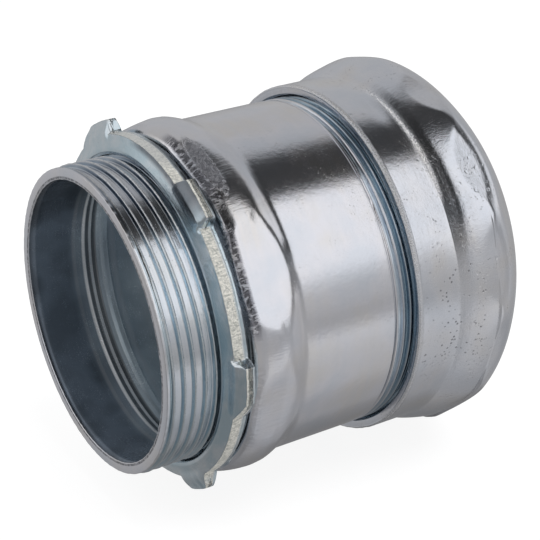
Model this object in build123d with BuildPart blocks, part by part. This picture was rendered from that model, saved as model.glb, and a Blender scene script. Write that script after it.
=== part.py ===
from build123d import *
import os
from math import cos, sin, radians

os.makedirs("parts", exist_ok=True)

# Compression connector for thin-wall steel conduit, 3 inch trade size, in mm:
# body, gland nut, split compression ring and locknut, all in place on one axis.
# The axis is +X. x = 0 is the open end of the threaded nipple, and the gland
# nut is at the +X end. "Front" is the -X side, and "back" is the +X side.
# Radii (_r) are measured from the axis. Outline points are (x, radius).

inch = 25.4
overshoot = 1.0             # how far cutting and overlapping shapes run past a face
blank_r = 30.0              # inner radius of the blanks, well inside every bore

# --- body: nipple --------------------------------------------------------
nipple_lip_r = 43.80        # outer edge of the nipple's flat end face
nipple_lip_chamfer = 0.25
nipple_root_r = 43.05
nipple_crest_r = 44.20
nipple_pitch = inch / 8     # 8 threads per inch
nipple_turns = 7.4
nipple_helix_x = -2.005     # start of the helix, ahead of the end face
nipple_crest_w = 0.60
nipple_ridge_foot_w = 2.60
nipple_ridge_sink = 0.75    # depth of the ridge's foot below the root
nipple_fillet_r = 1.7       # between nipple and shoulder

# --- body: octagonal shoulder --------------------------------------------
shoulder_x = 22.60          # face that seats on the enclosure wall
shoulder_end_x = 39.60
shoulder_r = 51.75          # over the corners
shoulder_apothem = 50.00    # to the flats
shoulder_turn = 37.1        # angle of the first corner
shoulder_overlap = 2.0      # how far the shoulder's blank runs into the barrel

# --- body: barrel and rear thread ----------------------------------------
barrel_r = 49.40
gland_thread_x = 68.20      # first groove of the rear thread
gland_pitch = inch / 11     # 11 threads per inch
gland_turns = 12.6
gland_helix_lead = 1.75     # the helix starts this far ahead of the first groove
gland_root_r = 48.30
gland_crest_r = 49.34
gland_crest_w = 0.50
gland_ridge_foot_w = 2.22
gland_ridge_sink = 0.45
neck_len = 0.7              # taper from the barrel down to the thread root
body_end_x = 92.20
body_end_chamfer = 0.35

# --- body: inside --------------------------------------------------------
throat_r = 40.50            # wire way through the nipple
throat_len = 17.60
throat_step_x = throat_len + 1.3     # end of the short step behind the throat
throat_step_r = throat_r + 0.45
socket_floor_x = 27.80      # the conduit's end stops here
socket_floor_inner_r = 43.9
socket_floor_outer_r = 47.2
socket_x = 40.6             # where the socket becomes a plain bore
socket_r = 44.95            # bore that takes the conduit
body_seat_len = 3.3
body_seat_r = 47.60         # mouth of the taper that wedges the ring

# Limits that fade each thread ridge out at both ends
nipple_ridge_limits = [
    (0.5, 41.0), (0.5, 43.4), (2.1, 45.2), (19.2, 45.2), (21.3, 42.0), (21.3, 41.0),
]
gland_ridge_limits = [
    (gland_thread_x - 0.6, 47.3), (gland_thread_x - 0.6, 50.0),
    (body_end_x - 1.6, 50.0), (body_end_x - body_end_chamfer, 47.7),
    (body_end_x - body_end_chamfer, 47.3),
]

# Curved outside of the shoulder, front to back
shoulder_front_r = 48.60
shoulder_curve = [
    (shoulder_x, shoulder_front_r), (23.70, 50.35), (26.20, 51.30), (30.60, shoulder_r),
    (33.80, 51.40), (36.20, 50.60), (shoulder_end_x, barrel_r),
]

# Curved insides: throat step to socket floor, and socket floor to plain bore
throat_curve = [
    (throat_step_x, throat_step_r), (23.2, 42.6), (26.1, 43.6),
    (socket_floor_x, socket_floor_inner_r),
]
socket_curve = [
    (socket_floor_x, socket_floor_outer_r), (32.0, 47.5), (36.2, 46.4), (socket_x, socket_r),
]


def thread_ridge(start_x, pitch, turns, root_r, crest_r, crest_w, foot_w, sink, limits):
    """Helical ridge of a thread, trimmed to the revolved limits."""
    height = crest_r - root_r
    with BuildPart() as ridge:
        with BuildLine():
            helix = Helix(
                pitch=pitch,
                height=pitch * turns,
                radius=root_r,
                center=(start_x, 0, 0),
                direction=(1, 0, 0),
            )
        with BuildSketch(Plane(origin=helix @ 0, x_dir=(1, 0, 0), z_dir=helix % 0)):
            with BuildLine():
                Polyline(
                    (-foot_w / 2, -sink), (-crest_w / 2, height),
                    (crest_w / 2, height), (foot_w / 2, -sink), close=True,
                )
            make_face()
        sweep(path=helix, is_frenet=True)
        with BuildSketch(Plane.XY):
            with BuildLine():
                Polyline(*limits, close=True)
            make_face()
        revolve(axis=Axis.X, mode=Mode.INTERSECT)
    return ridge.part


def make_nipple():
    """Plain tube with the coarse ridge on it, running into the shoulder."""
    ridge = thread_ridge(
        start_x=nipple_helix_x, pitch=nipple_pitch, turns=nipple_turns,
        root_r=nipple_root_r, crest_r=nipple_crest_r, crest_w=nipple_crest_w,
        foot_w=nipple_ridge_foot_w, sink=nipple_ridge_sink, limits=nipple_ridge_limits,
    )
    fillet_start = (shoulder_x - nipple_fillet_r, nipple_root_r)
    fillet_end = (shoulder_x, nipple_root_r + nipple_fillet_r)
    with BuildPart() as nipple:
        with BuildSketch(Plane.XY):
            with BuildLine():
                Polyline(
                    (0, blank_r), (0, nipple_lip_r - nipple_lip_chamfer),
                    (nipple_lip_chamfer, nipple_lip_r), (0.75, nipple_lip_r),
                    (1.45, nipple_root_r), fillet_start,
                )
                RadiusArc(fillet_start, fillet_end, radius=nipple_fillet_r)
                Polyline(
                    fillet_end, (shoulder_x + overshoot, fillet_end[1]),
                    (shoulder_x + overshoot, blank_r), (0, blank_r),
                )
            make_face()
        revolve(axis=Axis.X)
        add(ridge)
    return nipple.part


def make_barrel():
    """Barrel, necked down where the fine rear thread for the gland nut starts."""
    ridge = thread_ridge(
        start_x=gland_thread_x - gland_helix_lead, pitch=gland_pitch, turns=gland_turns,
        root_r=gland_root_r, crest_r=gland_crest_r, crest_w=gland_crest_w,
        foot_w=gland_ridge_foot_w, sink=gland_ridge_sink, limits=gland_ridge_limits,
    )
    with BuildPart() as barrel:
        with BuildSketch(Plane.XY):
            with BuildLine():
                Polyline(
                    (shoulder_end_x, blank_r), (shoulder_end_x, barrel_r),
                    (gland_thread_x, barrel_r), (gland_thread_x + neck_len, gland_root_r),
                    (body_end_x - body_end_chamfer, gland_root_r),
                    (body_end_x, gland_root_r - body_end_chamfer), (body_end_x, blank_r),
                    close=True,
                )
            make_face()
        revolve(axis=Axis.X)
        add(ridge)
    return barrel.part


def make_body():
    """One formed steel shell: nipple, shoulder and barrel, bored through."""
    nipple = make_nipple()
    barrel = make_barrel()
    blank_end_x = shoulder_end_x + shoulder_overlap
    with BuildPart() as body:
        # shoulder, turned to its corners
        with BuildSketch(Plane.XY):
            with BuildLine():
                Line((shoulder_x, blank_r), (shoulder_x, shoulder_front_r))
                Spline(*shoulder_curve, tangents=((0.15, 1.0), (1.0, -0.05)))
                Polyline(
                    (shoulder_end_x, barrel_r), (blank_end_x, barrel_r),
                    (blank_end_x, blank_r), (shoulder_x, blank_r),
                )
            make_face()
        revolve(axis=Axis.X)
        # eight pressed flats
        with BuildSketch(Plane.YZ.offset(shoulder_x - overshoot)):
            RegularPolygon(radius=shoulder_apothem, side_count=8, major_radius=False,
                           rotation=shoulder_turn)
        extrude(amount=blank_end_x - shoulder_x + 2 * overshoot, mode=Mode.INTERSECT)
        add(nipple)
        add(barrel)
        # inside: wire throat, conduit stop, conduit socket, seat for the ring
        with BuildSketch(Plane.XY):
            with BuildLine():
                Polyline(
                    (-overshoot, 0), (-overshoot, throat_r), (throat_len, throat_r),
                    (throat_len + 0.25, throat_step_r), (throat_step_x, throat_step_r),
                )
                Spline(*throat_curve, tangents=((1.0, 0.25), (1.0, 0.0)))
                Line((socket_floor_x, socket_floor_inner_r),
                     (socket_floor_x, socket_floor_outer_r))
                Spline(*socket_curve, tangents=((1.0, 0.25), (1.0, -0.15)))
                Polyline(
                    (socket_x, socket_r), (body_end_x - body_seat_len, socket_r),
                    (body_end_x, body_seat_r), (body_end_x + overshoot, body_seat_r + 0.8),
                    (body_end_x + overshoot, 0), (-overshoot, 0),
                )
            make_face()
        revolve(axis=Axis.X, mode=Mode.SUBTRACT)
    return body.part


# --- split compression ring ----------------------------------------------
ring_bore_r = 45.20
ring_od_r = 48.90
ring_x0 = 91.10
ring_x1 = 106.40
ring_gap = 3.2
ring_outline = [
    (ring_x0, ring_bore_r), (ring_x0, ring_bore_r + 1.15), (ring_x0 + 3.2, ring_od_r),
    (101.6, ring_od_r), (ring_x1, 46.35), (ring_x1, ring_bore_r),
]


def make_split_ring():
    """Ring bevelled at both ends, cut through once at -Z so that it can close."""
    with BuildPart() as ring:
        with BuildSketch(Plane.XY):
            with BuildLine():
                Polyline(*ring_outline, close=True)
            make_face()
        revolve(axis=Axis.X)
        with Locations(((ring_x0 + ring_x1) / 2, 0, -ring_od_r)):
            Box(ring_x1 - ring_x0 + 4, ring_gap, 12, mode=Mode.SUBTRACT)
    return ring.part


# --- gland nut -----------------------------------------------------------
nut_face_x = 74.20
nut_end_x = 113.40
nut_rim_r = 52.30
nut_collar_r = 52.75
nut_collar_end_x = 88.20    # crease where the bulge starts
nut_mouth_r = 50.20
nut_thread_r = barrel_r + 0.07       # running clearance over the barrel
nut_corner_r = 56.80
nut_apothem = 55.60         # to the twelve flats
nut_turn = 0.6              # angle of the first corner
nut_cavity_r = 50.60
nut_seat_end_x = ring_x1 + 1.0       # end of the taper around the ring
nut_exit_r = 45.50
nut_exit_chamfer = 0.6
nut_lip_r = 46.6            # outer edge of the turned-in end

# Outside of the bulge, then of the turned-in end, which share a tangent
nut_bulge = [
    (nut_collar_end_x, nut_collar_r), (90.0, 54.4), (91.6, 55.75), (94.2, 56.5),
    (98.2, nut_corner_r), (101.0, 56.45), (104.6, 54.85), (108.4, 52.0), (111.6, 49.2),
]
nut_turn_in = [nut_bulge[-1], (112.9, 47.7), (nut_end_x, nut_lip_r)]
nut_bulge_end_tangent = (0.66, -0.75)

nut_inside = [
    (nut_face_x - overshoot, 0), (nut_face_x - overshoot, nut_mouth_r),
    (nut_face_x + 0.5, nut_mouth_r), (nut_face_x + 1.6, nut_thread_r),
    (92.6, nut_thread_r), (93.9, nut_cavity_r), (99.4, nut_cavity_r),
    (101.9, ring_od_r + 0.06), (nut_seat_end_x, 46.05), (nut_seat_end_x, nut_exit_r),
    (nut_end_x - nut_exit_chamfer, nut_exit_r), (nut_end_x, nut_exit_r + nut_exit_chamfer),
    (nut_end_x + overshoot, nut_exit_r + nut_exit_chamfer + overshoot),
    (nut_end_x + overshoot, 0),
]


def make_gland_nut():
    """Round collar, twelve-sided bulge and turned-in end, with a plain inside."""
    with BuildPart() as nut:
        with BuildSketch(Plane.XY):
            with BuildLine():
                Polyline(
                    (nut_face_x, blank_r), (nut_face_x, nut_rim_r),
                    (nut_face_x + 0.45, nut_collar_r), (nut_collar_end_x, nut_collar_r),
                )
                Spline(*nut_bulge, tangents=((0.70, 0.72), nut_bulge_end_tangent))
                Spline(*nut_turn_in, tangents=(nut_bulge_end_tangent, (0.1, -1.0)))
                Polyline((nut_end_x, nut_lip_r), (nut_end_x, blank_r), (nut_face_x, blank_r))
            make_face()
        revolve(axis=Axis.X)
        # twelve flats
        with BuildSketch(Plane.YZ.offset(nut_face_x - overshoot)):
            RegularPolygon(radius=nut_apothem, side_count=12, major_radius=False,
                           rotation=nut_turn)
        extrude(amount=nut_end_x - nut_face_x + 2 * overshoot, mode=Mode.INTERSECT)
        with BuildSketch(Plane.XY):
            with BuildLine():
                Polyline(*nut_inside, close=True)
            make_face()
        revolve(axis=Axis.X, mode=Mode.SUBTRACT)
    return nut.part


# --- locknut -------------------------------------------------------------
lock_x0 = 15.20             # front of the raised middle
lock_rim_x = 16.30          # front of the rim
lock_back_x = 20.90
lock_blank_len = 8          # length of the plate before it is trimmed
lock_bore_r = 44.42
lock_base_r = 49.90
lug_r = 53.80
lug_crown = 0.25            # rise of a lug's top at its middle
lug_foot_r = lock_base_r - 0.05
lug_root_r = lock_base_r - 3         # inner end of a lug, inside the base circle
lug_count = 6
first_lug_angle = 1.6
lug_top_angle = 6.8         # half width of a lug's top, degrees
lug_foot_angle = 12.0       # half width of a lug's foot, degrees
lock_section = [
    (lock_x0 + 0.7, lock_bore_r - overshoot), (lock_x0 + 0.7, lock_bore_r),
    (lock_x0, lock_bore_r + 0.8), (lock_x0, lock_bore_r + 1.5),
    (lock_rim_x - 0.25, 48.9), (lock_rim_x, 49.6), (lock_rim_x + 1.1, lug_r),
    (lock_rim_x + 1.8, 56.0), (lock_back_x - 0.2, 56.0), (lock_back_x - 0.4, lug_r),
    (lock_back_x, 50.4), (lock_back_x, 48.6), (lock_back_x - 1.2, lock_bore_r),
    (lock_back_x - 1.2, lock_bore_r - overshoot),
]


def at(radius, angle):
    """Point of the cross-section at a radius and an angle in degrees."""
    return (radius * cos(radians(angle)), radius * sin(radians(angle)))


def make_locknut():
    """Dished ring with driving lugs around its rim."""
    with BuildPart() as locknut:
        with BuildSketch(Plane.YZ.offset(lock_x0 - overshoot)):
            Circle(lock_base_r)
            for i in range(lug_count):
                middle = first_lug_angle + i * 360 / lug_count
                with BuildLine():
                    Polyline(
                        at(lug_root_r, middle - lug_foot_angle),
                        at(lug_foot_r, middle - lug_foot_angle),
                        at(lug_r, middle - lug_top_angle),
                        at(lug_r + lug_crown, middle),
                        at(lug_r, middle + lug_top_angle),
                        at(lug_foot_r, middle + lug_foot_angle),
                        at(lug_root_r, middle + lug_foot_angle),
                        close=True,
                    )
                make_face()
            Circle(lock_bore_r, mode=Mode.SUBTRACT)
        extrude(amount=lock_blank_len)
        # middle raised to the front, lug fronts sloping back
        with BuildSketch(Plane.XY):
            with BuildLine():
                Polyline(*lock_section, close=True)
            make_face()
        revolve(axis=Axis.X, mode=Mode.INTERSECT)
    return locknut.part


pieces = {
    "body": make_body,
    "gland_nut": make_gland_nut,
    "split_ring": make_split_ring,
    "locknut": make_locknut,
}
for name, make_piece in pieces.items():
    piece = make_piece()
    piece.label = name
    export_step(piece, f"parts/{name}.step")
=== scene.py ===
"""A zinc-plated compression fitting: threaded nipple, pressed shoulder, gland nut, split ring, locknut.

The axis lies along x. The nipple's mouth is at x = 0, the gland nut at the far end ("rear", +x).
Angles run around the axis from +y towards +z, so 90 degrees is the top.
"""
import bpy
import math
import numpy as np
from mathutils import Matrix, Vector


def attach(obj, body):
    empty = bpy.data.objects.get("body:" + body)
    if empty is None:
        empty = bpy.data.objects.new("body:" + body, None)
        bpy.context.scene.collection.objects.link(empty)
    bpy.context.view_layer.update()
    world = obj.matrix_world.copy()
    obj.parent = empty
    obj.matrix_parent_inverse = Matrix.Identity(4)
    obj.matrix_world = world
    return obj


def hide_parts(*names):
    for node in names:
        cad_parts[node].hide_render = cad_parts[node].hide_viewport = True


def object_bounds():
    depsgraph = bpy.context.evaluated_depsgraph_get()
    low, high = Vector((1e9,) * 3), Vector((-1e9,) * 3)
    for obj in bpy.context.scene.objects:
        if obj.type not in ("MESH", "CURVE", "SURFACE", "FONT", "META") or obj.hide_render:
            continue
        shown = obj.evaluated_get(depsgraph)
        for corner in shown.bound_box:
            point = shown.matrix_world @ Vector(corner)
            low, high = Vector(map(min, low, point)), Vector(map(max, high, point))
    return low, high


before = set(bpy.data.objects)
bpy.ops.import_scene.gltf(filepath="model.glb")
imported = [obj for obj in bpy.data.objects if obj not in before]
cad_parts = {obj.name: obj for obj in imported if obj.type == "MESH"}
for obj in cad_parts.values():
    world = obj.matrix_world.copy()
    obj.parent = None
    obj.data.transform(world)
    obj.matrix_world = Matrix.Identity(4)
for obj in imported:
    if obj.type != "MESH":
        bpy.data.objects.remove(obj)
cad_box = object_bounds()
MM = 0.001

# ---------------------------------------------------------------------------
# sizes in millimetres; _R is a radius, _X a place along the axis
# ---------------------------------------------------------------------------
# shell: nipple with its coarse thread, shoulder, barrel, fine rear thread
THROAT_R, LIP_R = 40.50, 43.80
ROOT_R, CREST_R, PITCH = 43.05, 44.20, 3.175
SHOULDER_X = 22.60
BARREL_R, SOCKET_R = 49.40, 44.95
GLAND_X, GLAND_PITCH = 68.20, 25.4 / 11
GLAND_ROOT, GLAND_CREST = 48.30, 49.34
BODY_END = 92.20
# gland nut: front collar and a bulge with twelve flats
NUT_X, NUT_END = 74.20, 113.40
NUT_COLLAR, NUT_APOTHEM, NUT_CORNER = 52.75, 55.60, 56.80
NUT_FLATS, NUT_TURN = 12, 0.6
# split ring
RING_BORE, RING_OUT, RING_GAP = 45.2, 48.9, 3.2
# locknut
LOCK_BORE, LOCK_BASE, LOCK_LUG = 44.42, 49.90, 53.80
# pressed flats of the shoulder: angle of the middle, distance from the axis,
# x where the front rounding ends, rise towards the rear, softness of the outline
SHOULDER_FLATS = [
    (149.6, 49.45, 24.5, 0.0, 0.30), (109.6, 49.65, 25.2, 0.30, 0.30),
    (60.6, 50.05, 24.8, 0.16, 0.5), (15.0, 50.0, 24.9, 0.10, 0.5),
    (-30.4, 50.0, 24.9, 0.05, 0.5), (-75.4, 50.15, 24.8, 0.05, 0.6),
    (-119.4, 50.7, 24.8, 0.02, 0.6), (-165.4, 50.05, 24.8, 0.03, 0.55)]
# lugs of the locknut, in degrees: middle, start and end of the top, width of both slopes
LUGS = [(61.6, -6.0, 7.0, 8.0, 1.3), (121.6, -4.4, 8.6, 3.0, 1.2), (181.6, -7.4, 4.0, 1.4, 8.0),
        (241.6, -6.5, 2.5, 7.0, 3.6), (301.6, -6.5, 6.5, 5.0, 2.0), (1.6, -6.5, 6.5, 4.0, 3.0)]


# ---------------------------------------------------------------------------
# geometry helpers
# ---------------------------------------------------------------------------
def rounded(points, step=None):
    """Polyline of (x, r[, fillet radius]) with rounded corners; runs over step are divided."""
    out = []
    for i, (x, r, *fillet) in enumerate(points):
        if not fillet:
            out.append((x, r))
            continue
        before = np.array(points[i - 1][:2], float) - (x, r)
        after = np.array(points[i + 1][:2], float) - (x, r)
        len_before, len_after = np.linalg.norm(before), np.linalg.norm(after)
        before, after = before / len_before, after / len_after
        angle = math.acos(max(-1, min(1, float(before @ after))))
        cut = min(fillet[0] / math.tan(angle / 2), len_before * 0.49, len_after * 0.49)
        radius = cut * math.tan(angle / 2)
        middle = before + after
        centre = (x, r) + middle / np.linalg.norm(middle) * (radius / math.sin(angle / 2))
        first, last = (x, r) + before * cut - centre, (x, r) + after * cut - centre
        sweep = math.pi - angle
        count = max(2, int(math.ceil(sweep / 0.32)))
        for j in range(count + 1):
            w = j / count
            spoke = first * math.sin((1 - w) * sweep) + last * math.sin(w * sweep)
            out.append(tuple(centre + spoke / math.sin(sweep)))
    if step is None:
        return out
    fine = [out[0]]
    for x1, r1 in out[1:]:
        x0, r0 = fine[-1]
        count = max(1, int(math.ceil(math.hypot(x1 - x0, r1 - r0) / step)))
        for j in range(1, count + 1):
            fine.append((x0 + (x1 - x0) * j / count, r0 + (r1 - r0) * j / count))
    return fine


def curve(points, steps):
    """Smooth curve through (x, r) points, each span divided into steps."""
    P = np.array(points, float)
    T = np.zeros_like(P)
    T[1:-1] = (P[2:] - P[:-2]) / 2
    T[0], T[-1] = P[1] - P[0], P[-1] - P[-2]
    out = []
    for i in range(len(P) - 1):
        for j in range(steps):
            s = j / steps
            h = (2 * s**3 - 3 * s**2 + 1, s**3 - 2 * s**2 + s, -2 * s**3 + 3 * s**2, s**3 - s**2)
            out.append(tuple(h[0] * P[i] + h[1] * T[i] + h[2] * P[i + 1] + h[3] * T[i + 1]))
    out.append(tuple(P[-1]))
    return out


def waves(angle, x, seed, terms, lobes, drift):
    """Seeded unevenness, about -1..1, periodic around the axis and drifting along x."""
    rng = np.random.RandomState(seed)
    total = 0
    for _ in range(terms):
        total = total + rng.uniform(0.4, 1) * np.sin(
            rng.randint(*lobes) * angle + rng.uniform(-drift, drift) * x + rng.uniform(0, 6.28))
    return total / (terms ** 0.5)


def smooth_min(a, b, width):
    h = np.clip(0.5 + 0.5 * (b - a) / width, 0, 1)
    return b * (1 - h) + a * h - width * h * (1 - h)


def smooth_step(x, start, end):
    t = np.clip((x - start) / (end - start), 0, 1)
    return t * t * (3 - 2 * t)


def degrees_from(middle, degrees):
    """Signed angle from middle, -180..180."""
    return np.mod(degrees - middle + 180.0, 360.0) - 180.0


def polygon_radius(angle, apothem, turn, sides):
    """Radius of a regular polygon with a corner at turn degrees."""
    segment = 2 * math.pi / sides
    off = np.mod(angle - math.radians(turn), segment) - segment / 2
    return apothem / np.cos(off)


def helix_distance(X, A, top_x, pitch):
    """Distance along x from the nearest turn of a helix that passes the top at top_x."""
    centre = top_x + pitch * (np.degrees(A) - 90.0) / 360.0
    return np.abs(np.mod(X - centre + pitch / 2, pitch) - pitch / 2)


def full_circle(columns):
    return np.linspace(0, 2 * math.pi, columns, endpoint=False)


def turned(profile, angles):
    """Grids of x, radius and angle: a row per profile point, a column per angle."""
    profile = np.array(profile)
    X = np.repeat(profile[:, :1], len(angles), 1)
    R = np.repeat(profile[:, 1:], len(angles), 1)
    A = np.repeat(angles[None, :], len(profile), 0)
    return X, R, A


def add_piece(name, X, R, A, rides, replaces, material, closed=True):
    """Solid from the grids; an open one doesn't go full circle and gets end caps."""
    rows, cols = X.shape
    verts = np.stack([X, R * np.cos(A), R * np.sin(A)], -1).reshape(-1, 3) * MM
    I, J = np.meshgrid(np.arange(rows), np.arange(cols if closed else cols - 1), indexing="ij")
    I2, J2 = (I + 1) % rows, (J + 1) % cols
    corners = [I * cols + J, I * cols + J2, I2 * cols + J2, I2 * cols + J]
    faces = np.stack(corners, -1).reshape(-1, 4).tolist()
    if not closed:
        faces.append([r * cols for r in range(rows)])
        faces.append([r * cols + cols - 1 for r in range(rows)][::-1])
    mesh = bpy.data.meshes.new(name)
    mesh.from_pydata(verts.tolist(), [], faces)
    mesh.update()
    mesh.shade_smooth()
    piece = bpy.data.objects.new(name, mesh)
    bpy.context.scene.collection.objects.link(piece)
    mesh.materials.append(material)
    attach(piece, rides)
    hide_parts(replaces)


# ---------------------------------------------------------------------------
# shader helpers
# ---------------------------------------------------------------------------
class Nodes:
    """Builds a node tree; values are sockets, numbers or (r, g, b)."""

    def __init__(self, tree):
        self.tree = tree
        tree.nodes.clear()

    def add(self, kind, **settings):
        node = self.tree.nodes.new(kind)
        for key, value in settings.items():
            setattr(node, key, value)
        return node

    def feed(self, socket, value):
        if isinstance(value, bpy.types.NodeSocket):
            self.tree.links.new(value, socket)
        else:
            socket.default_value = (*value, 1.0) if isinstance(value, tuple) else value

    def math(self, operation, *values):
        node = self.add("ShaderNodeMath", operation=operation)
        for socket, value in zip(node.inputs, values):
            self.feed(socket, value)
        return node.outputs[0]

    def mul(self, first, *others):
        for other in others:
            first = self.math("MULTIPLY", first, other)
        return first

    def plus(self, a, b):
        return self.math("ADD", a, b)

    def minus(self, a, b):
        return self.math("SUBTRACT", a, b)

    def larger(self, a, b):
        return self.math("MAXIMUM", a, b)

    def mul_add(self, value, factor, offset):
        return self.math("MULTIPLY_ADD", value, factor, offset)

    def mix(self, factor, a, b, mode="MIX"):
        node = self.add("ShaderNodeMix", data_type="RGBA", blend_type=mode)
        for index, value in ((0, factor), (6, a), (7, b)):
            self.feed(node.inputs[index], value)
        return node.outputs[2]

    def ramp(self, value, stops, span=None):
        """Ramp of (position, grey or colour); with span, positions are in 0..span, not 0..1."""
        if span:
            value = self.math("DIVIDE", value, span)
            stops = [(position / span, shade) for position, shade in stops]
        node = self.add("ShaderNodeValToRGB")
        elements = node.color_ramp.elements
        while len(elements) > 1:
            elements.remove(elements[-1])
        elements[0].position = stops[0][0]
        for i, (position, shade) in enumerate(stops):
            element = elements[0] if i == 0 else elements.new(position)
            element.color = (*shade, 1) if isinstance(shade, tuple) else (shade, shade, shade, 1)
        self.feed(node.inputs[0], value)
        return node.outputs[0]

    def up(self, value, start, end, span=None):
        return self.ramp(value, [(start, 0.0), (end, 1.0)], span)

    def down(self, value, start, end, span=None):
        return self.ramp(value, [(start, 1.0), (end, 0.0)], span)

    def noise(self, vector, scale, detail=4, rough=0.55, warp=0.0):
        node = self.add("ShaderNodeTexNoise")
        settings = {"Scale": scale, "Detail": detail, "Roughness": rough, "Distortion": warp}
        for key, value in settings.items():
            node.inputs[key].default_value = value
        self.feed(node.inputs["Vector"], vector)
        return node.outputs["Fac"]

    def cells(self, vector, scale):
        node = self.add("ShaderNodeTexVoronoi")
        node.inputs["Scale"].default_value = scale
        self.feed(node.inputs["Vector"], vector)
        return node.outputs["Distance"]


# ramps over x or the radius run over this many mm
SPAN = 100.0


class Plate(Nodes):
    """Zinc plate in the making: coordinates in mm around the axis, and the look so far."""

    def __init__(self, tree):
        super().__init__(tree)
        self.output = self.add("ShaderNodeOutputMaterial")
        self.shader = self.add("ShaderNodeBsdfPrincipled")
        self.feed(self.output.inputs[0], self.shader.outputs[0])
        coords = self.add("ShaderNodeTexCoord")
        self.normal = coords.outputs["Normal"]
        axes = self.add("ShaderNodeSeparateXYZ")
        self.feed(axes.inputs[0], coords.outputs["Object"])
        self.x, self.y, self.z = (self.mul(axis, 1000.0) for axis in axes.outputs)
        squares = self.plus(self.mul(self.y, self.y), self.mul(self.z, self.z))
        self.radius = self.math("SQRT", squares)
        self.place = self.stretched()
        self.metal = None

    def stretched(self, along=None, across=None):
        """Position with x multiplied by along, y and z by across."""
        node = self.add("ShaderNodeCombineXYZ")
        parts = (self.x, along), (self.y, across), (self.z, across)
        for socket, (axis, factor) in zip(node.inputs, parts):
            self.feed(socket, axis if factor is None else self.mul(axis, factor))
        return node.outputs[0]

    def band(self, start, full, end, gone, span=SPAN):
        """1 for x from full to end, 0 outside start..gone."""
        return self.ramp(self.x, [(start, 0.0), (full, 1.0), (end, 1.0), (gone, 0.0)], span)

    def toward(self, mid):
        """Cosine of the angle from mid degrees."""
        turn = math.radians(mid)
        dot = self.plus(self.mul(self.y, math.cos(turn)), self.mul(self.z, math.sin(turn)))
        return self.math("DIVIDE", dot, self.radius)

    def around(self, mid, half, soft):
        """1 within half degrees of the angle mid, fading over soft degrees."""
        outer, inner = math.cos(math.radians(half + soft)), math.cos(math.radians(half))
        lifted = self.mul_add(self.toward(mid), 0.5, 0.5)
        return self.up(lifted, outer / 2 + 0.5, inner / 2 + 0.5)

    def paint(self, colour, *mask, strength=None):
        if strength is not None:
            mask += (strength,)
        self.colour = self.mix(self.mul(*mask), self.colour, colour)

    def lift(self, *mask, by):
        self.height = self.plus(self.height, self.mul(*mask, by))

    def sink(self, *mask, by):
        self.height = self.minus(self.height, self.mul(*mask, by))

    def roughen(self, *mask, by):
        self.rough = self.plus(self.rough, self.mul(*mask, by))


# ---------------------------------------------------------------------------
# materials
# ---------------------------------------------------------------------------
def zinc(name, light=(0.83, 0.83, 0.87), blue=(0.76, 0.79, 0.85), rough=0.13, pits=1.0,
         marks=None, inside=None):
    """Bright zinc plate on pressed or turned steel."""
    material = bpy.data.materials.new(name)
    material.use_nodes = True
    plate = Plate(material.node_tree)
    # lines left by turning: long around the axis, short along it
    turning = plate.stretched(along=1.0, across=0.045)
    fine = plate.noise(turning, scale=2.6, detail=5, rough=0.62)
    coarse = plate.noise(turning, scale=0.42, detail=3, rough=0.5)
    patches = plate.noise(plate.place, scale=0.055, detail=3, rough=0.5)
    plate.mottle = plate.noise(plate.place, scale=0.11, detail=4, rough=0.6, warp=0.6)
    plate.grain = plate.noise(plate.place, scale=3.2, detail=4, rough=0.7)
    speck = plate.cells(plate.place, scale=1.15)
    warm = (0.83, 0.81, 0.80)
    plate.colour = plate.ramp(patches, [(0.36, blue), (0.5, light), (0.66, warm)])
    plate.paint(blue, plate.up(coarse, 0.40, 0.62), strength=0.25)
    dull = plate.mul(plate.up(plate.grain, 0.50, 0.74), 0.13)
    plate.paint((0.52, 0.52, 0.54), dull)
    pitted = plate.mul(plate.down(speck, 0.10, 0.22), plate.up(plate.mottle, 0.52, 0.62))
    plate.paint((0.30, 0.31, 0.33), pitted, strength=0.45 * pits)
    plate.rough = rough
    plate.roughen(plate.minus(plate.mottle, 0.5), by=0.16)
    plate.roughen(plate.minus(fine, 0.5), by=0.12)
    plate.roughen(dull, by=0.6)
    plate.height = plate.mul(fine, 0.010)
    plate.lift(plate.grain, by=0.012)
    plate.lift(plate.noise(plate.place, scale=0.7, detail=3, rough=0.5), by=0.030)
    plate.sink(pitted, by=0.055 * pits)
    if marks:
        marks(plate)
    # lighter on sharp convex edges
    geometry = plate.add("ShaderNodeNewGeometry")
    sharp_edges = plate.up(geometry.outputs["Pointiness"], 0.515, 0.56)
    plate.paint((0.90, 0.89, 0.89), sharp_edges, strength=0.35)
    if inside:
        inside(plate)

    sockets = plate.shader.inputs
    plate.feed(sockets["Metallic"], 1.0 if plate.metal is None else plate.metal)
    plate.feed(sockets["Base Color"], plate.colour)
    limited = plate.larger(plate.math("MINIMUM", plate.rough, 0.7), 0.05)
    plate.feed(sockets["Roughness"], limited)
    bump = plate.add("ShaderNodeBump")
    bump.inputs["Strength"].default_value = 1.0
    bump.inputs["Distance"].default_value = 0.001
    plate.feed(bump.inputs["Height"], plate.height)
    plate.feed(sockets["Normal"], bump.outputs[0])
    return material


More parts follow.
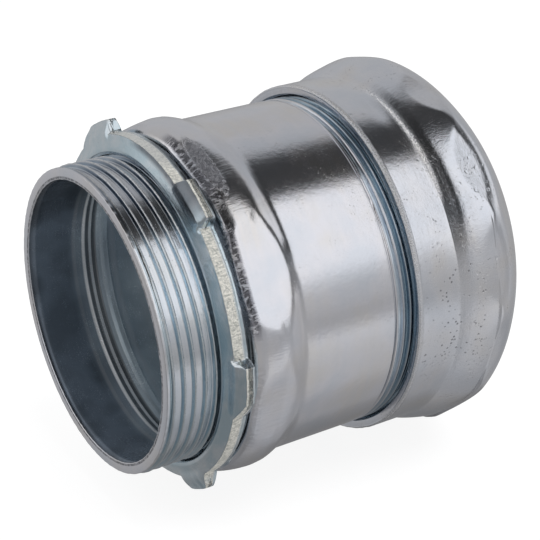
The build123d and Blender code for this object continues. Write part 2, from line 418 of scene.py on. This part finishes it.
def shell_inside(plate):
    """Inside of the shell: dull, with painted shade behind the mouth, painted highlights on a few
    turned rings and painted shade in the grooves between them.
    """
    x, radius, place = plate.x, plate.radius, plate.place
    wall = plate.ramp(x, [(0.4, 0.0), (0.75, 1.0), (26.0, 1.0), (28.0, 1.0)], SPAN)
    near = plate.down(radius, 42.85, 42.95, SPAN)
    deep = plate.mul(plate.down(radius, 47.45, 47.55, SPAN), plate.up(x, 22.8, 23.0, SPAN),
                     plate.down(x, 88.5, 90.0, SPAN))
    mask = plate.larger(plate.mul(near, wall), deep)
    # painted shade: a dark teal tone over the inside, lighter further in
    tone = (0.085, 0.107, 0.135)
    teal = plate.ramp(plate.noise(place, scale=0.045, detail=3, rough=0.55),
                      [(0.36, tone), (0.52, tuple(v * 1.5 for v in tone)),
                       (0.66, tuple(v * 0.8 for v in tone))])
    far = plate.ramp(plate.noise(place, scale=0.035, detail=3, rough=0.5),
                     [(0.38, (0.26, 0.32, 0.37)), (0.52, (0.40, 0.48, 0.53)),
                      (0.64, (0.28, 0.34, 0.39))])
    depth = plate.ramp(x, [(12.5, 0.0), (16.5, 0.35), (21.5, 0.5), (22.6, 1.0)], SPAN)
    teal = plate.mix(depth, teal, far)
    # x, lightness of the painted highlights on the turned rings
    ring_highlights = plate.ramp(x, [
        (0.0, 0.0), (13.8, 0.0), (14.4, 0.10), (15.2, 0.10), (15.4, 0.03), (17.2, 0.02),
        (17.6, 0.85), (18.52, 0.95), (18.8, 0.05), (20.08, 0.04), (20.32, 0.42), (21.12, 0.40),
        (21.44, 0.0), (23.0, 0.0), (23.4, 0.22), (24.8, 0.12), (25.6, 0.0), (40.0, 0.0)], span=40.0)
    patchy = plate.ramp(plate.noise(place, scale=0.035, detail=2, rough=0.5),
                        [(0.40, 0.60), (0.60, 1.0)])
    # x, factor of the painted shade in the grooves between them
    grooves = plate.ramp(x, [
        (0.0, 1.0), (18.64, 1.0), (18.96, 0.35), (20.0, 0.35), (20.24, 1.0), (21.2, 1.0),
        (21.52, 0.25), (22.88, 0.25), (23.36, 1.0), (40.0, 1.0)], span=40.0)
    ringed = plate.mix(plate.mul(ring_highlights, patchy), teal, (1.0, 1.0, 1.0))
    rings_and_groove_shade = plate.mix(1.0, ringed, grooves, "MULTIPLY")
    # painted shade, darker towards the top, near the mouth only
    shade = plate.ramp(plate.math("DIVIDE", plate.z, radius),
                       [(0.0, 1.0), (0.30, 1.0), (0.62, 0.40), (1.0, 0.25)])
    shade = plate.larger(shade, plate.up(x, 14.0, 19.0, SPAN))
    plate.paint(plate.mix(1.0, rings_and_groove_shade, shade, "MULTIPLY"), mask)
    plate.roughen(mask, by=0.10)
    plate.metal = plate.mul_add(mask, -0.60, 1.0)


def mouth_marks(plate):
    """Dark, broken line just outside the nipple's inner edge."""
    face = plate.down(plate.x, 0.2, 0.4, span=10.0)
    # 40 to 45 mm from the axis
    ring = plate.ramp(plate.mul(plate.minus(plate.radius, 40.0), 0.2),
                      [(0.14, 0.0), (0.18, 1.0), (0.27, 1.0), (0.31, 0.0)])
    torn = plate.ramp(plate.noise(plate.place, scale=0.9, detail=4, rough=0.7),
                      [(0.40, 0.25), (0.55, 1.0)])
    plate.paint((0.05, 0.055, 0.07), face, ring, plate.mul(torn, 0.85))


def press_ripples(plate, outside):
    """Ripples along the front edges of the shoulder's flats, strong on the first two, with painted
    shade between light hairlines.
    """
    angle = plate.math("ARCTAN2", plate.z, plate.y)
    thin = plate.noise(plate.stretched(along=0.12), scale=1.15, detail=2, rough=0.5)
    hair = plate.up(thin, 0.55, 0.59)
    zone = None
    for i, (mid, _, front, _, _) in enumerate(SHOULDER_FLATS):
        edge = plate.band(front - 2.1, front - 1.5, front + 0.2, front + 0.9)
        flat = plate.mul(plate.around(mid, half=14.5, soft=5.0), edge, 1.0 if i < 2 else 0.15)
        zone = flat if zone is None else plate.larger(zone, flat)
    zone = plate.mul(zone, outside)
    comb = plate.math("SINE", plate.mul_add(thin, 46.0, plate.mul(angle, 60.0)))
    plate.lift(comb, zone, by=0.022)
    plate.roughen(hair, zone, by=0.38)
    # painted shade in the ripple zone, light hairlines left
    plate.paint((0.14, 0.14, 0.17), plate.minus(1.0, hair), plate.mul(zone, 0.70))


def wrinkled_flat(plate, outside):
    """One flat is wrinkled and dull inside a ragged oval, with painted shade over the oval and painted
    highlights on its crease ridges.
    """
    # middle and half length in mm along x, half width in degrees
    oval_x, half_length, half_width = 27.6, 2.1, 12.5
    creases = plate.noise(plate.stretched(across=0.8), scale=0.55, detail=5, rough=0.64, warp=1.3)
    ridge = plate.mul(plate.ramp(creases, [(0.450, 0.0), (0.50, 1.0), (0.550, 0.0)]),
                      plate.ramp(plate.grain, [(0.38, 0.1), (0.56, 1.0)]))
    facing = plate.toward(SHOULDER_FLATS[1][0])
    off_x = plate.mul_add(plate.x, 1 / half_length, -oval_x / half_length)
    length_part = plate.math("POWER", plate.math("ABSOLUTE", off_x), 2.0)
    width_part = plate.mul(plate.minus(1.0, facing), 2 * (57.3 / half_width) ** 2)
    oval = plate.plus(plate.plus(length_part, width_part),
                      plate.mul(plate.minus(creases, 0.5), 1.8))
    wrinkled_patch = plate.mul(plate.down(plate.mul(oval, 0.5), 0.28, 0.62), outside)
    plate.lift(creases, wrinkled_patch, by=0.34)
    # painted shade over the wrinkled oval
    plate.paint((0.20, 0.20, 0.23), wrinkled_patch, strength=0.62)
    # painted highlights on the crease ridges
    plate.paint((0.95, 0.95, 1.0), wrinkled_patch, ridge, strength=0.9)
    plate.roughen(wrinkled_patch, by=0.20)


def thread_marks(plate, outside):
    """Bluer plate with fine streaks on both threads, partly painted reflection in their valleys,
    painted shade next to the nut; painted shade and highlights in bands around the nipple and painted
    highlights on its crests.
    """
    radius = plate.radius
    nipple = plate.mul(plate.band(0.3, 1.0, 20.8, 21.6), plate.up(radius, 43.00, 43.02, SPAN))
    rear = plate.mul(plate.band(68.2, 68.8, 92.0, 92.3), outside)
    threads = plate.larger(nipple, rear)
    streaks = plate.noise(plate.stretched(along=0.85, across=0.03), scale=1.6, detail=3, rough=0.6)
    low = plate.down(radius, 43.50, 44.05, SPAN)
    rear_low = plate.mul(plate.down(radius, 48.60, 49.20, SPAN), rear,
                         plate.ramp(plate.x, [(69.5, 0.42), (72.0, 1.0)], SPAN))
    # bluer plate, partly painted reflection: strongest in the valleys and, on the rear thread, towards
    # the nut
    blue = plate.mix(plate.up(streaks, 0.36, 0.6), (0.26, 0.39, 0.51), (0.57, 0.68, 0.76))
    deep = plate.larger(plate.mul(low, nipple), rear_low)
    plate.paint(blue, plate.larger(deep, plate.mul(nipple, 0.62)), strength=0.92)
    # painted shade on the rear thread next to and under the nut
    nut_shade = plate.mul(plate.band(70.7, 72.2, 92.0, 92.3), outside)
    plate.paint((0.17, 0.28, 0.36), nut_shade, strength=0.62)
    # painted shade and highlights in bands around the nipple: middle, half width and fade in degrees,
    # strength, colour
    for mid, half, soft, strength, colour in (
            (190.0, 32.0, 18.0, 0.42, (0.46, 0.60, 0.64)),
            (141.0, 12.0, 13.0, 0.72, (0.79, 0.92, 1.0)),
            (78.0, 26.0, 16.0, 0.45, (0.20, 0.26, 0.34)),
            (101.0, 16.0, 10.0, 0.80, (0.10, 0.135, 0.185))):
        plate.paint(colour, plate.around(mid, half, soft), nipple, strength=strength)
    # painted highlights on the crests, speckled, weaker on one side
    crest = plate.mul(plate.up(radius, 44.04, 44.16, SPAN), nipple)
    speck = plate.ramp(plate.noise(plate.place, scale=2.2, detail=4, rough=0.7),
                       [(0.36, 0.35), (0.56, 1.0)])
    dim_crest_side = plate.around(mid=192.0, half=34.0, soft=22.0)
    plate.paint((0.93, 0.93, 0.93), crest, speck, plate.mul_add(dim_crest_side, -0.55, 1.0))
    plate.roughen(crest, by=0.14)
    plate.lift(streaks, threads, by=0.11)


def shell_marks(plate):
    mouth_marks(plate)
    outside = plate.up(plate.radius, 47.60, 47.75, SPAN)
    press_ripples(plate, outside)
    wrinkled_flat(plate, outside)
    # light lines pressed along the axis on the shoulder
    hump = plate.mul(plate.band(23.5, 25.5, 33.0, 36.0), outside)
    lines = plate.noise(plate.stretched(along=0.10), scale=1.4, detail=3, rough=0.6)
    plate.lift(lines, hump, by=0.030)
    thread_marks(plate, outside)


def nut_marks(plate):
    """Draw lines, a ragged front edge, a speckled painted highlight on that edge and along the crease
    at the foot of the bulge, pits.
    """
    place = plate.place
    span = 200.0
    bulge = plate.band(86.4, 89.2, 95.0, 100.0, span)
    creases = plate.noise(plate.stretched(along=0.6, across=1.4),
                          scale=0.8, detail=4, rough=0.65, warp=1.0)
    plate.lift(creases, bulge, by=0.05)
    ragged = plate.noise(place, scale=2.4, detail=4, rough=0.72)
    outside = plate.up(plate.radius, 52.05, 52.15, SPAN)
    edge = plate.mul(plate.band(72.0, 73.0, 75.0, 75.7, span), outside)
    foot = plate.band(87.4, 87.8, 88.6, 89.2, span)
    spots = plate.up(ragged, 0.45, 0.60)
    foot_side = plate.around(mid=119.0, half=12.0, soft=14.0)
    foot = plate.mul(foot, plate.mul_add(foot_side, 0.92, 0.08))
    edge_side = plate.around(mid=124.0, half=22.0, soft=20.0)
    edge = plate.mul(edge, plate.mul_add(edge_side, 0.5, 0.5))
    # painted highlight, speckled and stronger on one side; on the front edge partly the pale colour of
    # its rough surface, at the foot the spots are matte white
    lit = plate.mul(plate.larger(edge, foot), plate.mul_add(spots, 0.8, 0.2))
    plate.paint((1.0, 0.98, 0.95), lit, strength=0.9)
    plate.roughen(lit, by=0.34)
    plate.metal = plate.mul_add(plate.mul(foot, spots), -0.55, 1.0)
    plate.lift(ragged, plate.larger(edge, foot), by=0.30)
    # worn, pitted patch
    patch = plate.mul(plate.around(mid=176.0, half=13.0, soft=9.0),
                      plate.band(76.0, 77.5, 94.0, 97.0, span))
    pits = plate.mul(plate.down(plate.cells(place, scale=0.75), 0.14, 0.26),
                     plate.up(plate.noise(place, scale=0.20, detail=3, rough=0.6), 0.47, 0.56))
    pits = plate.mul(pits, patch)
    plate.sink(pits, by=0.16)
    plate.paint((0.30, 0.30, 0.32), pits, strength=0.72)
    plate.roughen(patch, by=0.07)
    # a few wide pits anywhere
    few = plate.mul(plate.down(plate.cells(place, scale=0.42), 0.16, 0.28),
                    plate.up(plate.mottle, 0.54, 0.62))
    plate.sink(few, by=0.05)


def lock_marks(plate):
    """Rough sheared edge of the locknut, teal plate on its face; painted shade on the rim and a painted
    dark reflection on the face, both near the top.
    """
    normal = plate.add("ShaderNodeSeparateXYZ")
    plate.feed(normal.inputs[0], plate.normal)
    outward = plate.plus(plate.mul(normal.outputs[1], plate.y),
                         plate.mul(normal.outputs[2], plate.z))
    facing = plate.math("DIVIDE", outward, plate.radius)
    rim = plate.mul(plate.up(plate.radius, 49.25, 49.60, SPAN), plate.up(facing, 0.50, 0.78))
    # the rim ends unevenly at x = 19.4 to 20.08
    uneven_x = plate.plus(plate.math("DIVIDE", plate.x, 40.0),
                          plate.mul(plate.minus(plate.mottle, 0.5), 0.02))
    rim = plate.mul(rim, plate.down(uneven_x, 0.485, 0.502))
    ragged = plate.noise(plate.place, scale=1.9, detail=5, rough=0.75)
    lines = plate.noise(plate.stretched(along=0.35), scale=1.9, detail=4, rough=0.7)
    plate.lift(ragged, rim, by=0.26)
    plate.lift(lines, rim, by=0.16)
    spots = plate.up(plate.mul_add(ragged, 0.5, plate.mul(lines, 0.5)), 0.42, 0.56)
    plate.paint(plate.mix(spots, (0.40, 0.41, 0.38), (0.88, 0.86, 0.79)), rim)
    # painted shade on the rim near the top
    dark_rim = plate.around(mid=84.0, half=18.0, soft=7.0)
    plate.paint((0.42, 0.44, 0.45), dark_rim, rim, strength=0.58)
    plate.roughen(rim, by=0.16)
    plate.metal = plate.mul_add(rim, -0.5, 1.0)
    # painted dark reflection on the face near the top
    dark_reflection = plate.mul(plate.around(mid=108.0, half=15.0, soft=8.0),
                      plate.up(plate.radius, 48.00, 49.30, SPAN))
    face = plate.minus(1.0, rim)
    swirl = plate.noise(plate.stretched(along=0.3, across=0.06), scale=1.6, detail=3, rough=0.6)
    teal = plate.mix(plate.up(swirl, 0.38, 0.62), (0.56, 0.70, 0.77), (0.74, 0.81, 0.85))
    plate.paint(teal, face, strength=0.9)
    plate.paint((0.13, 0.14, 0.16), dark_reflection, face, strength=0.82)


zinc_shell = zinc("zinc_shell", pits=0.35, marks=shell_marks, inside=shell_inside)
zinc_nut = zinc("zinc_nut", light=(0.82, 0.83, 0.87), rough=0.15, pits=1.2, marks=nut_marks)
zinc_ring = zinc("zinc_ring", light=(0.72, 0.73, 0.76), rough=0.24)
zinc_lock = zinc("zinc_lock", light=(0.76, 0.77, 0.78), blue=(0.62, 0.70, 0.74), rough=0.18,
                 marks=lock_marks)


# ---------------------------------------------------------------------------
# shell
# ---------------------------------------------------------------------------
def shell_profile():
    """Outer and inner outline as (x, r); the outer runs to the rear, the inner back."""
    # mouth and nipple
    outer = rounded([(0.9, THROAT_R), (0.0, THROAT_R, 0.28), (0.0, LIP_R, 0.22),
                     (0.85, LIP_R, 0.2), (1.5, ROOT_R, 0.2), (1.9, ROOT_R)])
    outer += [(x, ROOT_R) for x in np.arange(2.03, 20.95, 0.13)]
    # shoulder and barrel
    outer += rounded([(20.95, ROOT_R), (SHOULDER_X, ROOT_R, 1.6), (SHOULDER_X, 47.6)], 0.5)[1:]
    outer += curve([
        (SHOULDER_X, 47.6), (SHOULDER_X + 0.04, 48.5), (23.0, 49.55), (23.75, 50.35),
        (26.2, 51.25), (28.4, 51.6), (30.8, 51.75), (33.8, 51.4), (36.2, 50.6),
        (38.0, 49.85), (39.8, 49.45), (42.0, BARREL_R)], 7)[1:]
    outer += [(x, BARREL_R) for x in np.arange(44.0, 67.3, 1.5)]
    # rear thread and rear edge
    outer += rounded([(67.5, BARREL_R), (GLAND_X, BARREL_R, 0.12),
                      (GLAND_X + 0.7, GLAND_ROOT, 0.15), (GLAND_X + 1.0, GLAND_ROOT)])
    outer += [(x, GLAND_ROOT) for x in np.arange(GLAND_X + 1.12, BODY_END - 0.55, 0.12)]
    outer += rounded([
        (BODY_END - 0.5, GLAND_ROOT), (BODY_END - 0.35, GLAND_ROOT, 0.1),
        (BODY_END, GLAND_ROOT - 0.35, 0.1), (BODY_END, 47.6, 0.12),
        (BODY_END - 3.3, SOCKET_R, 0.5), (BODY_END - 4.5, SOCKET_R)])
    # socket, hollow under the shoulder, stepped throat
    inner = rounded([(BODY_END - 4.5, SOCKET_R), (41.0, SOCKET_R)], 4.0)[1:]
    inner += curve([(41.0, SOCKET_R), (38.8, 45.4), (36.2, 46.4), (32.0, 47.3), (28.4, 47.2)],
                   4)[1:]
    inner += rounded([
        (28.4, 47.2), (27.8, 47.2, 0.3), (27.8, 43.9, 0.35), (26.1, 43.6, 1.0),
        (24.6, 42.9, 0.6), (23.1, 42.75, 0.3), (21.5, 42.3, 0.3), (21.1, 41.75, 0.15),
        (20.0, 41.6, 0.15), (19.6, 41.2, 0.15), (18.7, 41.1, 0.12), (18.1, 40.62, 0.15),
        (17.4, THROAT_R, 0.2), (16.6, THROAT_R)], 1.2)[1:]
    inner += rounded([(16.6, THROAT_R), (1.4, THROAT_R)], 1.3)[1:]
    return outer, inner


def cut_threads(X, R, A, is_outer):
    """Coarse ridge on the nipple and fine ridge at the rear, both fading at their ends."""
    off = helix_distance(X, A, 4.345, PITCH)
    ridge = ROOT_R + (CREST_R - ROOT_R) * (1 - np.clip((off - 0.17) / 0.52, 0, 1))
    ridge = ridge - 0.06 * np.clip(1 - np.abs(off - 0.17) / 0.10, 0, 1)
    ridge = ridge + 0.045 * waves(A, X, 3, 10, (8, 70), 0.4) * (off < 0.5)
    ends = np.minimum(43.4 + (X - 0.5) * 1.125, 45.2 - (X - 19.2) * 1.524)
    zone = is_outer & (X > 0.5) & (X < 21.4) & (R < 44.0)
    R = np.where(zone, np.maximum(R, np.minimum(ridge, ends)), R)

    off = helix_distance(X, A, GLAND_X - 1.75, GLAND_PITCH)
    ridge = GLAND_ROOT + (GLAND_CREST - GLAND_ROOT) * (1 - np.clip((off - 0.20) / 0.50, 0, 1))
    ridge = np.minimum(ridge, 50.0 - (X - (BODY_END - 1.6)) * 1.84)
    zone = is_outer & (X > GLAND_X - 0.2) & (X < BODY_END - 0.3) & (R > 47)
    return np.where(zone, np.maximum(R, np.minimum(ridge, BARREL_R)), R)


def press_flats(X, R, A, is_outer):
    """Flats on the shoulder, each with a rounded front edge and a short rise at its rear."""
    reach = 34
    hump = is_outer & (X > SHOULDER_X - 0.01) & (X < 42.0) & (R > 47.5)
    for i, (middle, distance, front, tilt, soft) in enumerate(SHOULDER_FLATS):
        off = np.abs(degrees_from(middle, np.degrees(A)))
        ahead = np.clip(front - X, 0, None)
        drop = 0.36 * ahead + 0.62 * np.clip(ahead - 1.3, 0, None) ** 2
        rise = tilt * np.clip(X - front, 0, None) + 0.10 * np.clip(X - 32.2, 0, None)
        plane = (distance - drop + rise) / np.cos(np.radians(np.clip(off, 0, reach)))
        plane = plane + 0.05 * waves(A, X, 11 + i, 8, (5, 30), 0.5)
        pressed = smooth_min(R, plane, soft + 0.75 * smooth_step(X, 29.5, 33.0))
        R = np.where(hump & (off < reach), pressed, R)
    return R


def build_shell():
    outer, inner = shell_profile()
    X, R, A = turned(outer + inner, full_circle(720))
    is_outer = (np.arange(len(X)) < len(outer))[:, None]
    R = cut_threads(X, R, A, is_outer)
    R = press_flats(X, R, A, is_outer)
    # slight unevenness of a pressed shell
    uneven = 0.022 * waves(A, X, 5, 8, (2, 6), 0.05)
    uneven = uneven * smooth_step(X, 23.5, 27) * (1 - smooth_step(X, 64, 67))
    R = np.where(is_outer & (X > 23.5) & (X < 67.0), R + uneven, R)
    # nicks on the nipple's inner and outer edge
    nicks = 0.06 * waves(A, X, 21, 14, (20, 110), 0.1) * np.where(is_outer, 1, -1)
    R = np.where(X < 0.6, R + nicks, R)
    add_piece("shell", X, R, A, "shell", "body", zinc_shell)


# ---------------------------------------------------------------------------
# gland nut
# ---------------------------------------------------------------------------
def nut_profile():
    """Outer and inner outline as (x, r); the outer runs to the rear, the inner back."""
    outer = rounded([(NUT_X + 0.9, 50.2), (NUT_X, 50.2, 0.15), (NUT_X, 52.3, 0.22),
                     (NUT_X + 0.45, NUT_COLLAR, 0.35), (NUT_X + 1.3, NUT_COLLAR)])
    outer += [(x, NUT_COLLAR) for x in np.arange(NUT_X + 2.0, 87.6, 0.8)]
    outer += [(87.9, NUT_COLLAR), (88.1, NUT_COLLAR + 0.02), (88.3, NUT_COLLAR + 0.12)]
    outer += curve([
        (88.3, NUT_COLLAR + 0.12), (89.1, 53.35), (90.3, 54.05), (91.6, 54.68), (93.0, 55.15),
        (94.4, 55.52), (95.8, 55.87), (97.2, 56.2), (98.8, 56.56), (100.4, NUT_CORNER),
        (101.9, 56.66), (103.4, 56.15), (105.2, 55.15), (107.1, 53.75), (109.2, 51.8),
        (111.2, 49.7), (112.4, 48.25), (113.15, 47.1)], 8)[1:]
    outer += rounded([(113.15, 47.1), (NUT_END, 46.6, 0.2), (NUT_END, 45.9, 0.3),
                      (NUT_END - 0.5, 45.5, 0.3), (NUT_END - 2.0, 45.5)])[1:]
    inner = rounded([
        (NUT_END - 2.0, 45.5), (107.4, 45.5, 0.2), (107.4, 46.1, 0.2), (101.9, 48.98, 0.3),
        (99.5, 50.6, 0.5), (93.9, 50.6, 0.3), (92.6, 49.48, 0.3), (75.8, 49.48, 0.15),
        (74.9, 50.2, 0.15), (NUT_X + 0.9, 50.2)], 1.0)[1:-1]
    return outer, inner


def build_nut():
    outer, inner = nut_profile()
    X, R, A = turned(outer + inner, full_circle(720))
    is_outer = (np.arange(len(X)) < len(outer))[:, None]
    degrees = np.degrees(A)
    # twelve flats on the bulge, faded out near the top
    crown = polygon_radius(A, NUT_APOTHEM, NUT_TURN, NUT_FLATS)
    crown = crown + 0.035 * waves(A, X, 31, 8, (3, 14), 0.2)
    soft = 0.26 + 0.55 * (1 - smooth_step(X, 92.0, 96.5)) + 0.85 * smooth_step(X, 99.5, 102.5)
    off = np.abs(degrees_from(64.0, degrees))
    crown = crown + 0.85 * (1 - smooth_step(off, 26.0, 44.0))
    R = np.where(is_outer & (R > 52.9) & (X > 80), smooth_min(R, crown, soft), R)
    # the collar runs softly into the bulge on one side
    off = np.abs(degrees_from(200.0, degrees))
    calm = 1 - smooth_step(off, 36.0, 52.0)
    ease = NUT_COLLAR + 0.02 + (55.45 - NUT_COLLAR) * smooth_step(X, 83.5, 100.0)
    eased = (R + calm * 0.55 * (np.minimum(R, ease) - R)
             + calm * 0.45 * (ease - R) * (X < 92) * (R < ease))
    R = np.where(is_outer & (X > 80) & (X < 100), eased, R)
    # hollow at the front of one flat
    off = np.abs(degrees_from(139.0, degrees))
    hollow = 0.12 * (1 - smooth_step(off, 7.0, 13.0)) * np.exp(-((X - 90.0) / 1.4) ** 2)
    R = np.where(is_outer & (X > 80), R - hollow, R)
    uneven = 0.03 * waves(A, X, 33, 9, (2, 7), 0.08)
    R = np.where(is_outer & (X > NUT_X + 2) & (X < 112), R + uneven, R)
    # shallow dent on the collar
    off = degrees_from(105.0, degrees)
    dent = 0.42 * np.exp(-((X - 85.0) / 2.4) ** 2 - (off / 7.0) ** 2)
    R = np.where(is_outer & (X > NUT_X + 2) & (X < 89), R - dent, R)
    # ragged front edge
    edge = is_outer & (X < NUT_X + 0.6) & (R > 51.5)
    R = np.where(edge, R + 0.05 * waves(A, X, 35, 14, (30, 120), 0.1), R)
    add_piece("nut", X, R, A, "nut", "gland_nut", zinc_nut)


# ---------------------------------------------------------------------------
# split ring, open at the bottom
# ---------------------------------------------------------------------------
def build_ring():
    half_gap = math.asin(RING_GAP / 2 / 47.0)
    angles = np.linspace(-math.pi / 2 + half_gap, 1.5 * math.pi - half_gap, 360)
    section = rounded([
        (96.0, RING_BORE), (91.1, RING_BORE, 0.2), (91.1, 46.35, 0.25), (94.3, RING_OUT, 0.35),
        (101.6, RING_OUT, 0.35), (106.4, 46.35, 0.25), (106.4, RING_BORE, 0.2),
        (97.0, RING_BORE)], 0.9)
    X, R, A = turned(section, angles)
    add_piece("compression_ring", X, R, A, "ring", "split_ring", zinc_ring,
              closed=False)


# ---------------------------------------------------------------------------
# locknut
# ---------------------------------------------------------------------------
def lug_outline(degrees):
    """Height of the lugs (0..1) and nearness to their steep sides, by angle."""
    lug = np.zeros(len(degrees))
    steep = np.zeros(len(degrees))
    for middle, start, end, slope_in, slope_out in LUGS:
        off = degrees_from(middle, degrees)
        top = np.minimum(np.clip((off - (start - slope_in)) / slope_in, 0, 1),
                         np.clip(((end + slope_out) - off) / slope_out, 0, 1))
        narrow = min(slope_in, slope_out)
        if narrow > 2.5:
            lug = np.maximum(lug, top * top * (3 - 2 * top))
        else:
            lug = np.maximum(lug, np.where(top < 1, top ** 0.9, top))
        if narrow < 2:
            side = end + slope_out if slope_out < slope_in else start - slope_in
            steep = np.maximum(steep, np.exp(-((off - side) / 0.8) ** 2))
    return lug, steep


def build_locknut():
    angles = full_circle(1080)
    lug, steep = lug_outline(np.degrees(angles))
    outline = LOCK_BASE + (LOCK_LUG - LOCK_BASE) * lug
    outline = outline + 0.05 * waves(angles, 0 * angles, 41, 14, (10, 120), 0.1)
    # bore, raised middle, rim, back
    section = rounded([
        (18.6, LOCK_BORE), (15.95, LOCK_BORE, 0.12), (15.2, 45.2, 0.3), (15.25, 46.1, 0.8),
        (16.25, 48.8, 0.8), (16.65, LOCK_BASE, 0.22), (20.9, LOCK_BASE, 0.25),
        (20.9, 48.6, 0.6), (19.7, LOCK_BORE, 0.15), (19.2, LOCK_BORE)], 0.26)
    X, R, A = turned(section, angles)
    # points near the rim follow the outline
    R = R + smooth_step(R, 47.8, LOCK_BASE) * (outline[None, :] - LOCK_BASE)
    bend = smooth_step(R, 49.6, LOCK_LUG) * lug[None, :]
    X = X + bend * np.where(X < 18.6, 1.15, -0.45)
    # sheared notch at the steep side of a lug, burrs along the rim
    X = X + 0.9 * steep[None, :] * smooth_step(R, 49.0, 50.2) * (X < 18.0)
    X = X + 0.05 * waves(A, R, 43, 14, (20, 120), 0.6) * smooth_step(R, 49.0, 49.8)
    add_piece("lugged_locknut", X, R, A, "lock", "locknut", zinc_lock)


build_shell()
build_nut()
build_ring()
build_locknut()


# ---------------------------------------------------------------------------
# stage: pale floor, soft studio light (metres)
# ---------------------------------------------------------------------------
def build_floor(half=6):
    z = cad_box[0][2]
    mesh = bpy.data.meshes.new("floor")
    corners = [(-half, -half, z), (half, -half, z), (half, half, z), (-half, half, z)]
    mesh.from_pydata(corners, [], [(0, 1, 2, 3)])
    floor = bpy.data.objects.new("floor", mesh)
    bpy.context.scene.collection.objects.link(floor)
    material = bpy.data.materials.new("pale_floor")
    material.use_nodes = True
    settings = {"Base Color": (0.16, 0.16, 0.16, 1), "Emission Color": (1.0, 1.0, 1.0, 1),
                "Emission Strength": 0.88, "Roughness": 0.9, "Specular IOR Level": 0.0}
    for key, value in settings.items():
        material.node_tree.nodes["Principled BSDF"].inputs[key].default_value = value
    mesh.materials.append(material)
    floor.visible_glossy = False


# Brightness of the surroundings: (degrees around the x axis from the top towards -y, grey).
# soft boxes with a dark slot overhead
SIDE_LIGHT = [
    (-180, .33), (-173, .25), (-161, .21), (-149, .19), (-120, .25), (-95, .42), (-84, .46),
    (-35, .46), (-26, .41), (-19, .08), (-12, .045), (7, .045), (11, .10), (17, .88), (22, .94),
    (60, .94), (69, .88), (77, .62), (84, .50), (91, .47), (103, .37), (109, .44), (115, .62),
    (127, .53), (139, .48), (151, .45), (163, .35), (175, .32)]
# the dark strip the camera stands in
MID_LIGHT = [
    (-180, .20), (-150, .22), (-128, .36), (-112, .46), (-60, .46), (-36, .44), (-22, .06),
    (0, .025), (50, .035), (66, .12), (84, .34), (110, .40), (140, .34), (160, .24)]
# towards -x
LEFT_LIGHT = [
    (-180, .22), (-150, .24), (-128, .28), (-106, .34), (-92, .62), (-70, .84), (-20, .86),
    (45, .84), (70, .62), (100, .40), (130, .26)]
# a dark screen far towards +x, then the end
RIGHT_LIGHT = [(-180, .33), (-95, .42), (-34, .43), (-20, .10), (0, .04), (50, .05), (68, .20),
               (84, .36), (120, .42), (170, .34)]
END_LIGHT = [(-180, .40), (-40, .44), (-12, .66), (10, .78), (60, .76), (90, .48), (170, .40)]


def build_world():
    world = bpy.data.worlds.new("studio")
    bpy.context.scene.world = world
    world.use_nodes = True
    sky = Nodes(world.node_tree)
    output = sky.add("ShaderNodeOutputWorld")
    background = sky.add("ShaderNodeBackground")
    sky.feed(output.inputs[0], background.outputs[0])
    coords = sky.add("ShaderNodeTexCoord")
    axes = sky.add("ShaderNodeSeparateXYZ")
    sky.feed(axes.inputs[0], coords.outputs["Generated"])
    angle = sky.math("ARCTAN2", sky.mul(axes.outputs[1], -1.0), axes.outputs[2])
    turn = sky.plus(sky.math("DIVIDE", angle, 2 * math.pi), 0.5)
    side, mid, left, right, end = (
        sky.ramp(turn, [((degrees + 180) / 360.0, grey) for degrees, grey in stops])
        for stops in (SIDE_LIGHT, MID_LIGHT, LEFT_LIGHT, RIGHT_LIGHT, END_LIGHT))
    # where each takes over, from -x (0) to +x (1)
    across = sky.mul_add(axes.outputs[0], 0.5, 0.5)
    is_left = sky.down(across, 0.20, 0.27)
    is_side = sky.up(across, 0.475, 0.53)
    is_right = sky.ramp(across, [(0.805, 0.0), (0.84, 1.0), (0.905, 1.0), (0.945, 0.0)])
    is_end = sky.up(across, 0.905, 0.945)
    light = sky.mix(is_side, sky.mix(is_left, mid, left), side)
    light = sky.mix(is_end, sky.mix(is_right, light, right), end)
    light = sky.mix(1.0, light, (0.985, 0.985, 1.0), "MULTIPLY")
    # plain greys for the backdrop and for diffuse light
    path = sky.add("ShaderNodeLightPath")
    light = sky.mix(path.outputs["Is Camera Ray"], light, (0.93, 0.93, 0.93))
    light = sky.mix(path.outputs["Is Diffuse Ray"], light, (0.62, 0.62, 0.63))
    sky.feed(background.inputs[0], light)
    background.inputs[1].default_value = 1.0


def area_light(name, location, size, power, target=(0.05, 0, 0)):
    lamp = bpy.data.lights.new(name, "AREA")
    lamp.shape = "DISK"
    lamp.size = size
    lamp.energy = power
    holder = bpy.data.objects.new(name, lamp)
    holder.location = location
    direction = Vector(target) - Vector(location)
    holder.rotation_euler = direction.to_track_quat("-Z", "Y").to_euler()
    bpy.context.scene.collection.objects.link(holder)
    holder.visible_glossy = False


def build_camera():
    lens = bpy.data.cameras.new("cam")
    camera = bpy.data.objects.new("cam", lens)
    bpy.context.scene.collection.objects.link(camera)
    forward = Vector((0.4796, 0.7549, -0.4472)).normalized()
    right = Vector((0.844, -0.5362, 0.0)).normalized()
    pose = Matrix((right, right.cross(forward), -forward)).transposed().to_4x4()
    pose.translation = Vector((-0.1659, -0.3540, 0.2102))
    camera.matrix_world = pose
    lens.sensor_width = 36.0
    lens.lens = 105.87
    lens.clip_start = 0.01
    bpy.context.scene.camera = camera
    bpy.context.scene.view_settings.view_transform = "Standard"


build_floor()
build_world()
area_light("key", location=(0.25, -0.35, 0.95), size=0.8, power=9.0)
area_light("fill", location=(-0.8, 0.5, 0.8), size=0.9, power=4.0)
build_camera()
